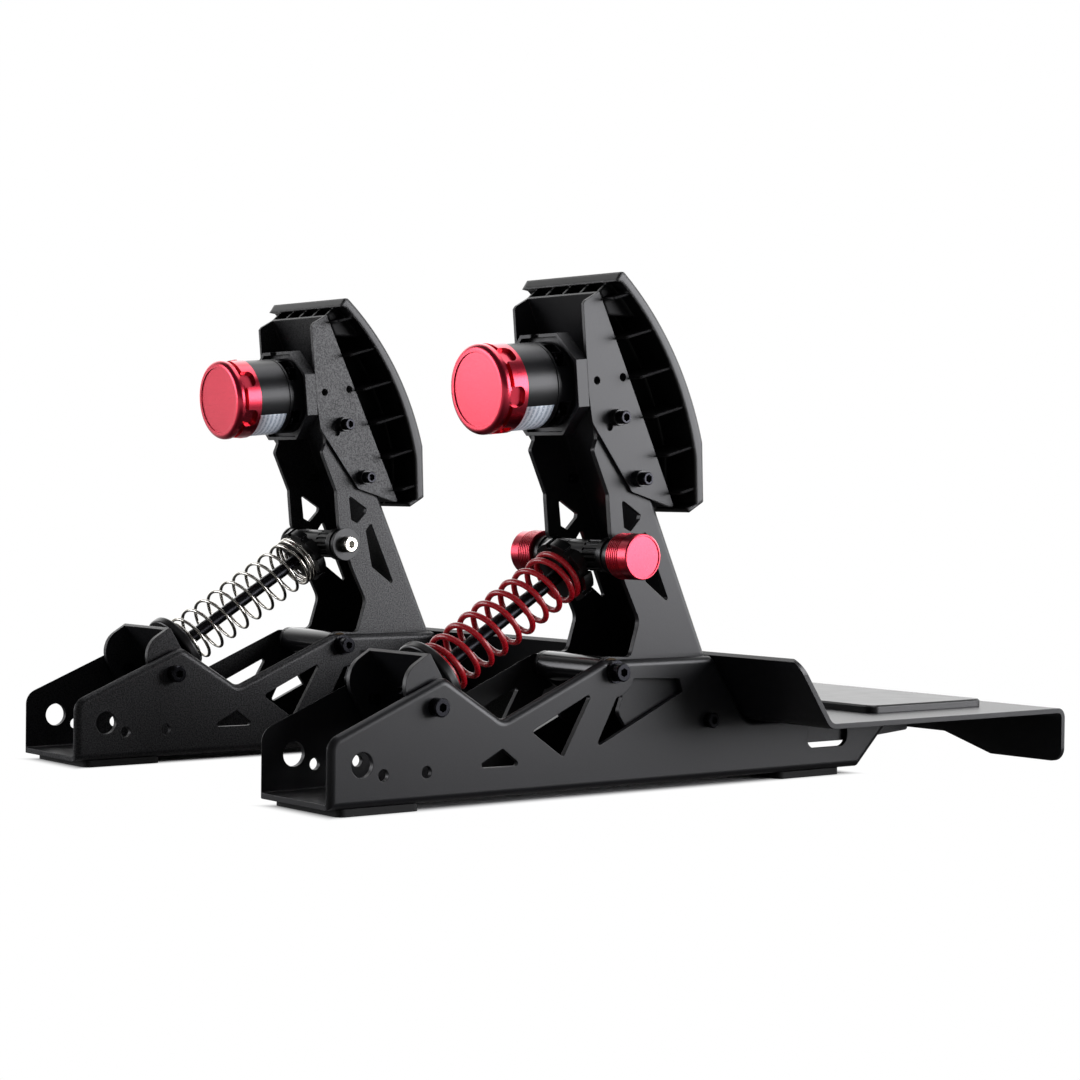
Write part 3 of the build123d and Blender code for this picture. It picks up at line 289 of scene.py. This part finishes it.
def red_anodising(name):
    """Blasted and dyed aluminium: deep crimson metal under the clear, harder oxide.

    The oxide gives a pale, pinkish sheen where a lamp is mirrored.
    """
    blast_mm, blast_depth = 0.35, 0.004
    dye_mm, edge_mm = 18.0, 0.3
    smoothest, roughest = 0.26, 0.34
    material, tree = blank_material(name)
    place = node(tree, "ShaderNodeTexCoord")
    blast = node(tree, "ShaderNodeTexNoise", {
        "Vector": place.outputs["Object"], "Scale": MM_IN_METRE / blast_mm, "Detail": 2.0})
    dye = node(tree, "ShaderNodeTexNoise", {
        "Vector": place.outputs["Object"], "Scale": MM_IN_METRE / dye_mm, "Detail": 1.0})
    colour = node(tree, "ShaderNodeMix", {
        "Factor": dye.outputs["Fac"], "A": linear("#cd1838"), "B": linear("#d82141"),
    }, data_type="RGBA")
    rough = node(tree, "ShaderNodeMapRange", {
        "Value": blast.outputs["Fac"], "From Min": NOISE_LOW, "From Max": NOISE_HIGH,
        "To Min": smoothest, "To Max": roughest})
    edge = node(tree, "ShaderNodeBevel", {"Radius": edge_mm / MM_IN_METRE}, samples=6)
    blasted = node(tree, "ShaderNodeBump", {
        "Height": blast.outputs["Fac"], "Distance": blast_depth / MM_IN_METRE,
        "Normal": edge.outputs[0]})
    shader = node(tree, "ShaderNodeBsdfPrincipled", {
        "Base Color": colour.outputs["Result"], "Metallic": 1.0,
        "Roughness": rough.outputs[0], "Coat Weight": 0.9, "Coat Roughness": 0.25,
        "Normal": blasted.outputs[0], "Coat Normal": edge.outputs[0]})
    node(tree, "ShaderNodeOutputMaterial", {"Surface": shader.outputs[0]})
    return material


def spring_enamel(name):
    """Stoved enamel on spring wire: dark red under a clear gloss, slightly uneven."""
    flow_mm, flow_depth = 1.6, 0.02
    smoothest, roughest = 0.24, 0.32
    material, tree = blank_material(name)
    place = node(tree, "ShaderNodeTexCoord")
    flow = node(tree, "ShaderNodeTexNoise", {
        "Vector": place.outputs["Object"], "Scale": MM_IN_METRE / flow_mm, "Detail": 1.0})
    colour = node(tree, "ShaderNodeMix", {
        "Factor": flow.outputs["Fac"], "A": linear("#950c18"), "B": linear("#ab111f"),
    }, data_type="RGBA")
    rough = node(tree, "ShaderNodeMapRange", {
        "Value": flow.outputs["Fac"], "From Min": NOISE_LOW, "From Max": NOISE_HIGH,
        "To Min": smoothest, "To Max": roughest})
    uneven = node(tree, "ShaderNodeBump", {
        "Height": flow.outputs["Fac"], "Distance": flow_depth / MM_IN_METRE})
    shader = node(tree, "ShaderNodeBsdfPrincipled", {
        "Base Color": colour.outputs["Result"], "Roughness": rough.outputs[0],
        "IOR": 1.5, "Coat Weight": 0.3, "Coat Roughness": 0.1,
        "Normal": uneven.outputs[0]})
    node(tree, "ShaderNodeOutputMaterial", {"Surface": shader.outputs[0]})
    return material


def label_film(name):
    """Printed polyester film: milky white with rows of faint grey dashes that spell nothing."""
    row_count = 6.0
    blank_share = 0.5
    breaks_across = 22.0
    break_level = 0.42
    material, tree = blank_material(name)
    place = node(tree, "ShaderNodeUVMap")
    split = node(tree, "ShaderNodeSeparateXYZ", {"Vector": place.outputs[0]})
    rows = node(tree, "ShaderNodeMath", {
        0: split.outputs["Y"], 1: row_count}, operation="MULTIPLY")
    row = node(tree, "ShaderNodeMath", {0: rows.outputs[0]}, operation="FRACT")
    inked = node(tree, "ShaderNodeMath", {
        0: row.outputs[0], 1: blank_share}, operation="GREATER_THAN")
    breaks = node(tree, "ShaderNodeTexNoise", {
        "Vector": place.outputs[0], "Scale": breaks_across, "Detail": 1.0})
    dash = node(tree, "ShaderNodeMath", {
        0: breaks.outputs["Fac"], 1: break_level}, operation="GREATER_THAN")
    print_mask = node(tree, "ShaderNodeMath", {
        0: inked.outputs[0], 1: dash.outputs[0]}, operation="MULTIPLY")
    colour = node(tree, "ShaderNodeMix", {
        "Factor": print_mask.outputs[0], "A": linear("#d8dee6"), "B": linear("#a0abba"),
    }, data_type="RGBA")
    shader = node(tree, "ShaderNodeBsdfPrincipled", {
        "Base Color": colour.outputs["Result"], "Roughness": 0.4, "IOR": 1.5})
    node(tree, "ShaderNodeOutputMaterial", {"Surface": shader.outputs[0]})
    return material


# Powder on the brake's steel and the heel plate: a soft, even sheen that follows each fold
satin_black = powder_coat(
    "satin_black_powder_coat", "#0a0a0d", "#0d0d11", roughness=0.4, sheen=0.5, sparkle=0.03,
    peel_mm=1.4, peel_depth=0.010, grit_mm=0.45, grit_depth=0.005)

# The throttle's steel has a coarser powder, whose grains catch the light one by one. It is drawn
# about twice as coarse as it is, so that it shows
grained_black = powder_coat(
    "grained_black_powder_coat", "#0a0a0c", "#101013", roughness=0.42, sheen=0.5, sparkle=0.25,
    peel_mm=2.4, peel_depth=0.03, grit_mm=0.85, grit_depth=0.09)

# Enamel on the motors' housings lies smoother than powder, so its reflections are tighter
motor_black = powder_coat(
    "motor_housing_black_enamel", "#0b0b0d", "#0f0f12", roughness=0.34, sheen=0.42, sparkle=0.02,
    peel_mm=1.2, peel_depth=0.004, grit_mm=0.35, grit_depth=0.003)

# Glossy enamel on the pivot tubes: a narrow, bright line along each tube
tube_black = powder_coat(
    "pivot_tube_black_enamel", "#08080a", "#0b0b0d", roughness=0.2, sheen=0.5, sparkle=0.0,
    peel_mm=1.2, peel_depth=0.002, grit_mm=0.35, grit_depth=0.001)

pad_nylon = pad_moulding("moulded_nylon_black")

# Small ABS parts are plain black with a soft highlight
smooth_abs = moulded(
    "moulded_abs_black", "#060607", "#0a0a0b", roughness=0.32, sheen=0.5, grain_mm=0.9,
    grain_depth=0.004)

# The feet's rubber is dull and takes next to no highlight
foot_rubber = moulded(
    "moulded_rubber_black", "#060606", "#0a0a0a", roughness=0.75, sheen=0.5, grain_mm=0.8,
    grain_depth=0.02)

# The heel mat's closer skin has a grey sheen when it is seen at a low angle
mat_rubber = moulded(
    "heel_mat_rubber", "#0c0c0d", "#0f0f10", roughness=0.38, sheen=0.6, grain_mm=0.7,
    grain_depth=0.008)

red_anodised = red_anodising("red_anodised_aluminium")
red_enamel = spring_enamel("red_enamelled_spring_steel")

# Bright nickel mirrors its surroundings, a little warm
nickel_plate = bare_metal(
    "nickel_plated_steel", "#c2beb6", "#d6d3cc", roughness=0.18, grain_mm=0.8,
    grain_depth=0.002)

# Black oxide leaves dark steel that still shines like metal on its rims
black_oxide = bare_metal(
    "black_oxide_steel", "#27272a", "#323236", roughness=0.28, grain_mm=0.5, grain_depth=0.003)

# Turned steel is mid grey, with highlights that the tool marks spread
turned_steel = bare_metal(
    "turned_steel", "#7e7f80", "#929394", roughness=0.26, grain_mm=0.4, grain_depth=0.003)

# Sintered bronze is brown and dull, because its pores hold oil
oiled_bronze = bare_metal(
    "oiled_sintered_bronze", "#2b231a", "#3a3023", roughness=0.45, grain_mm=0.4,
    grain_depth=0.01)

film = label_film("pale_polyester_label")

FINISHES = {
    "heel_plate": satin_black, "heel_brackets": satin_black, "heel_mat": mat_rubber,
    "rubber_feet": foot_rubber, "angle_sensors": smooth_abs, "pivot_axles": turned_steel,
    "pivot_screws": black_oxide, "strut_bolts": black_oxide, "frame_bolts": black_oxide,
    "heel_screws": black_oxide, "brake_load_cell": turned_steel,
    "brake_knob_left": red_anodised, "brake_knob_right": red_anodised,
    "throttle_shaft_screws": nickel_plate,
    "brake_spring": red_enamel, "throttle_spring": nickel_plate,
}
for side, coat in (("brake", satin_black), ("throttle", grained_black)):
    FINISHES.update({
        side + "_frame": coat, side + "_pedal_arm": coat, side + "_pad_bracket": coat,
        side + "_motor_tray": coat, side + "_strut_yoke": coat,
        side + "_pivot_bushes": oiled_bronze, side + "_pivot_tube": tube_black,
        side + "_pedal_pad": pad_nylon, side + "_bracket_screws": black_oxide,
        side + "_bracket_spacers": smooth_abs, side + "_motor_body": motor_black,
        side + "_motor_cap": red_anodised, side + "_motor_screws": black_oxide,
        side + "_motor_rotor": turned_steel, side + "_cross_shaft": turned_steel,
        side + "_shaft_sleeves": smooth_abs, side + "_shaft_collars": smooth_abs,
        side + "_spring_cup": smooth_abs, side + "_strut_rod": black_oxide,
        side + "_rod_eye": smooth_abs, side + "_adjuster_ring": smooth_abs,
    })

for name, finish in FINISHES.items():
    solid = frame["nodes"][name]
    solid.data.materials.clear()
    solid.data.materials.append(finish)


# Pieces made here

def piece_from(mesh, name, finish, body):
    """Turns a bmesh into a smooth piece that rides on a body."""
    data = bpy.data.meshes.new(name)
    mesh.to_mesh(data)
    mesh.free()
    data.materials.append(finish)
    data.polygons.foreach_set("use_smooth", [True] * len(data.polygons))
    piece = bpy.data.objects.new(name, data)
    bpy.context.scene.collection.objects.link(piece)
    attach(piece, body)
    return piece


def spring_runs(turns, low_closed, high_closed, closed_pitch, height):
    """Turns and pitch of each run: closed turns, a ramp, open turns, a ramp and closed turns.

    A ramp is one turn, in short steps from the closed pitch to the open one, so its height is
    that of half a closed turn and half an open one. Height is between the wire's two ends.
    """
    ramp_steps = 8
    open_turns = turns - low_closed - high_closed - 2
    pitch = (height - closed_pitch * (low_closed + high_closed + 1)) / (open_turns + 1)
    rise = (pitch - closed_pitch) / ramp_steps
    ramp = [(1 / ramp_steps, closed_pitch + rise * (i + 0.5)) for i in range(ramp_steps)]
    return [
        (low_closed, closed_pitch), *ramp, (open_turns, pitch), *reversed(ramp),
        (high_closed, closed_pitch)]


def make_spring(name, finish, coil_radius, wire, runs, start):
    """Spins the wire's round end about the strut, one run after another, from the cup's seat.

    The coil's radius is that of the wire's middle line, wire is its diameter, and start is the
    angle at which it begins.
    """
    wire_sides = 14
    steps_per_turn = 40
    foot = Vector(JOINTS[name + "_yoke_hinge"]["pos_m"])
    strut = (Vector(JOINTS[name + "_rod_hinge"]["pos_m"]) - foot).normalized()
    outward = ACROSS * math.cos(start) + strut.cross(ACROSS) * math.sin(start)
    middle = foot + strut * (CUP_SEAT + SEAT_GAP + wire / 2) + outward * coil_radius
    turn = Matrix((outward, strut, strut.cross(outward))).transposed().to_4x4()
    mesh = bmesh.new()
    bmesh.ops.create_circle(
        mesh, segments=wire_sides, radius=wire / 2, cap_ends=True,
        matrix=Matrix.Translation(middle) @ turn)
    mesh.faces.ensure_lookup_table()
    end = mesh.faces[0]
    geom = [end, *end.edges, *end.verts]
    for turns, pitch in runs:
        steps = max(2, round(turns * steps_per_turn))
        spun = bmesh.ops.spin(
            mesh, geom=geom, cent=foot, axis=strut, dvec=strut * (pitch * turns / steps),
            angle=turns * 2 * math.pi, steps=steps, use_merge=False, use_duplicate=False)
        geom = spun["geom_last"]
    bmesh.ops.remove_doubles(mesh, verts=mesh.verts[:], dist=1e-6)
    bmesh.ops.recalc_face_normals(mesh, faces=mesh.faces[:])
    spring = piece_from(mesh, name + "_coil", finish, name + "_yoke")
    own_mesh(spring)
    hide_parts(name + "_spring")


make_spring(
    "brake", red_enamel, coil_radius=0.0143, wire=0.0033,
    runs=spring_runs(
        turns=10.5, low_closed=0.75, high_closed=0.5, closed_pitch=0.0036, height=0.0976),
    start=math.radians(65))
make_spring(
    "throttle", nickel_plate, coil_radius=0.015, wire=0.002,
    runs=spring_runs(
        turns=12.5, low_closed=1.0, high_closed=2.0, closed_pitch=0.0026, height=0.1013),
    start=math.radians(191))


def make_label(name):
    """A film wrapped round the motor's body, on its near side below the middle."""
    seat = Vector(JOINTS[name + "_rotor_spin"]["pos_m"])
    axis = Vector(JOINTS[name + "_rotor_spin"]["axis"])
    up = ACROSS.cross(axis)
    outward = -ACROSS * math.cos(LABEL_START) + up * math.sin(LABEL_START)
    sweep = LABEL_END - LABEL_START
    mesh = bmesh.new()
    uv = mesh.loops.layers.uv.new("label")
    ends = [
        mesh.verts.new(seat + axis * along + outward * LABEL_RADIUS)
        for along in (LABEL_FAR, LABEL_NEAR)]
    edge = mesh.edges.new(ends)
    bmesh.ops.spin(
        mesh, geom=[edge] + ends, cent=seat, axis=axis, angle=sweep, steps=24, use_merge=False,
        use_duplicate=False)
    for corner in [loop for f in mesh.faces for loop in f.loops]:
        offset = corner.vert.co - seat
        around = math.atan2(offset.dot(up), -offset.dot(ACROSS)) - LABEL_START
        along = offset.dot(axis) - LABEL_FAR
        corner[uv].uv = (around / sweep, along / (LABEL_NEAR - LABEL_FAR))
    bmesh.ops.recalc_face_normals(mesh, faces=mesh.faces[:])
    label = piece_from(mesh, name + "_motor_label", film, name + "_arm")
    solidify = label.modifiers.new("film", "SOLIDIFY")
    solidify.thickness = FILM_THICKNESS
    solidify.offset = 1.0


make_label("brake")
make_label("throttle")


# Backdrop, floor and light; a strength of 1 is plain white

def make_world():
    """Plain white to the camera, and a low, even light on the object.

    Mirrors see a dark room, apart from the backdrop ahead of the camera, which is brighter than
    white. Its edge is given by the cosines of two angles from its middle.
    """
    backdrop = (0.78, -0.62, 0.0)
    edge_outer, edge_inner = 0.35, 0.75
    room, glare = 0.05, 2.0
    fill, white = 0.3, 1.0
    world = bpy.data.worlds.new("white_studio")
    world.use_nodes = True
    bpy.context.scene.world = world
    tree = world.node_tree
    tree.nodes.clear()
    path = node(tree, "ShaderNodeLightPath")
    place = node(tree, "ShaderNodeTexCoord")
    towards = node(tree, "ShaderNodeVectorMath", {
        0: place.outputs["Generated"], 1: backdrop}, operation="DOT_PRODUCT")
    mirrored = node(tree, "ShaderNodeMapRange", {
        "Value": towards.outputs["Value"], "From Min": edge_outer, "From Max": edge_inner,
        "To Min": room, "To Max": glare,
    }, interpolation_type="SMOOTHSTEP")
    lit = node(tree, "ShaderNodeMix", {
        "Factor": path.outputs["Is Glossy Ray"], "A": fill, "B": mirrored.outputs[0]})
    shown = node(tree, "ShaderNodeMath", {
        0: path.outputs["Is Camera Ray"], 1: path.outputs["Is Transmission Ray"],
    }, operation="MAXIMUM")
    strength = node(tree, "ShaderNodeMix", {
        "Factor": shown.outputs[0], "A": lit.outputs[0], "B": white})
    sky = node(tree, "ShaderNodeBackground", {
        "Color": linear("#ffffff"), "Strength": strength.outputs[0]})
    node(tree, "ShaderNodeOutputWorld", {"Surface": sky.outputs[0]})


def make_floor():
    """White paper, plain white where it glows. Round each frame's underside the glow gives way to
    the lamp-lit paper, a painted shadow patch inside which the lamps' real shadow shows.

    Mirrors see the paper beyond that patch as well, with painted shade: dark near the frames and
    paler far away.
    """
    # The painted shadow patch's soft edge, from inside to outside each frame's underside
    painted_shadow_start, painted_shadow_end = -0.012, 0.005
    near, far = 0.1, 0.8
    painted_shade_strength, far_strength = 0.05, 0.7
    white = 1.0
    reach = 8.0
    material, tree = blank_material("white_floor_paper")
    path = node(tree, "ShaderNodeLightPath")
    seen = node(tree, "ShaderNodeMath", {
        0: path.outputs["Is Camera Ray"], 1: path.outputs["Is Glossy Ray"]}, operation="MAXIMUM")
    shown = node(tree, "ShaderNodeMath", {
        0: seen.outputs[0], 1: path.outputs["Is Transmission Ray"]}, operation="MAXIMUM")
    place = node(tree, "ShaderNodeTexCoord")
    split = node(tree, "ShaderNodeSeparateXYZ", {"Vector": place.outputs["Object"]})
    beside = beside_module(tree, place, half_width("brake_frame"))
    beyond = outside(tree, split.outputs["Y"], SOLE_MIDDLE, SOLE_HALF_LENGTH)
    away = node(tree, "ShaderNodeMath", {0: beside, 1: beyond}, operation="MAXIMUM")
    # The glow fades out into the painted shadow patch round the frames
    clear = node(tree, "ShaderNodeMapRange", {
        "Value": away.outputs[0], "From Min": painted_shadow_start, "From Max": painted_shadow_end,
    }, interpolation_type="SMOOTHSTEP")
    # Painted shade that mirrors see on the floor: dim near the frames, paler far away
    mirrored = node(tree, "ShaderNodeMapRange", {
        "Value": away.outputs[0], "From Min": near, "From Max": far,
        "To Min": painted_shade_strength, "To Max": far_strength})
    strength = node(tree, "ShaderNodeMix", {
        "Factor": path.outputs["Is Glossy Ray"], "A": white, "B": mirrored.outputs[0]})
    factor = node(tree, "ShaderNodeMath", {
        0: shown.outputs[0], 1: clear.outputs[0]}, operation="MULTIPLY")
    paper = node(tree, "ShaderNodeBsdfDiffuse", {"Color": linear("#e6e6e6")})
    glow = node(tree, "ShaderNodeEmission", {"Strength": strength.outputs[0]})
    floor_mix = node(tree, "ShaderNodeMixShader", {
        0: factor.outputs[0], 1: paper.outputs[0], 2: glow.outputs[0]})
    node(tree, "ShaderNodeOutputMaterial", {"Surface": floor_mix.outputs[0]})
    mesh = bmesh.new()
    bmesh.ops.create_grid(mesh, x_segments=1, y_segments=1, size=reach)
    data = bpy.data.meshes.new("floor")
    mesh.to_mesh(data)
    mesh.free()
    data.materials.append(material)
    floor = bpy.data.objects.new("floor", data)
    bpy.context.scene.collection.objects.link(floor)


def softbox(name, place, target, width, height, watts):
    """A rectangular lamp, very slightly blue, that points at its target."""
    lamp = bpy.data.lights.new(name, "AREA")
    lamp.shape = "RECTANGLE"
    lamp.size = width
    lamp.size_y = height
    lamp.energy = watts
    lamp.color = (0.96, 0.96, 1.0)
    holder = bpy.data.objects.new(name, lamp)
    bpy.context.scene.collection.objects.link(holder)
    holder.location = place
    aim = Vector(target) - Vector(place)
    holder.rotation_euler = aim.to_track_quat("-Z", "Y").to_euler()


make_world()
make_floor()
softbox(
    "rear_left_softbox", place=(-1.6, -1.58, 0.62), target=(-0.1, 0.0, 0.35), width=1.5,
    height=1.15, watts=48)
softbox(
    "front_right_softbox", place=(1.15, 1.68, 0.52), target=(-0.05, 0.1, 0.3), width=1.1,
    height=0.95, watts=18)
softbox(
    "overhead_softbox", place=(0.0, -0.5, 2.0), target=(0.0, 0.0, 0.1), width=1.4, height=1.0,
    watts=12)
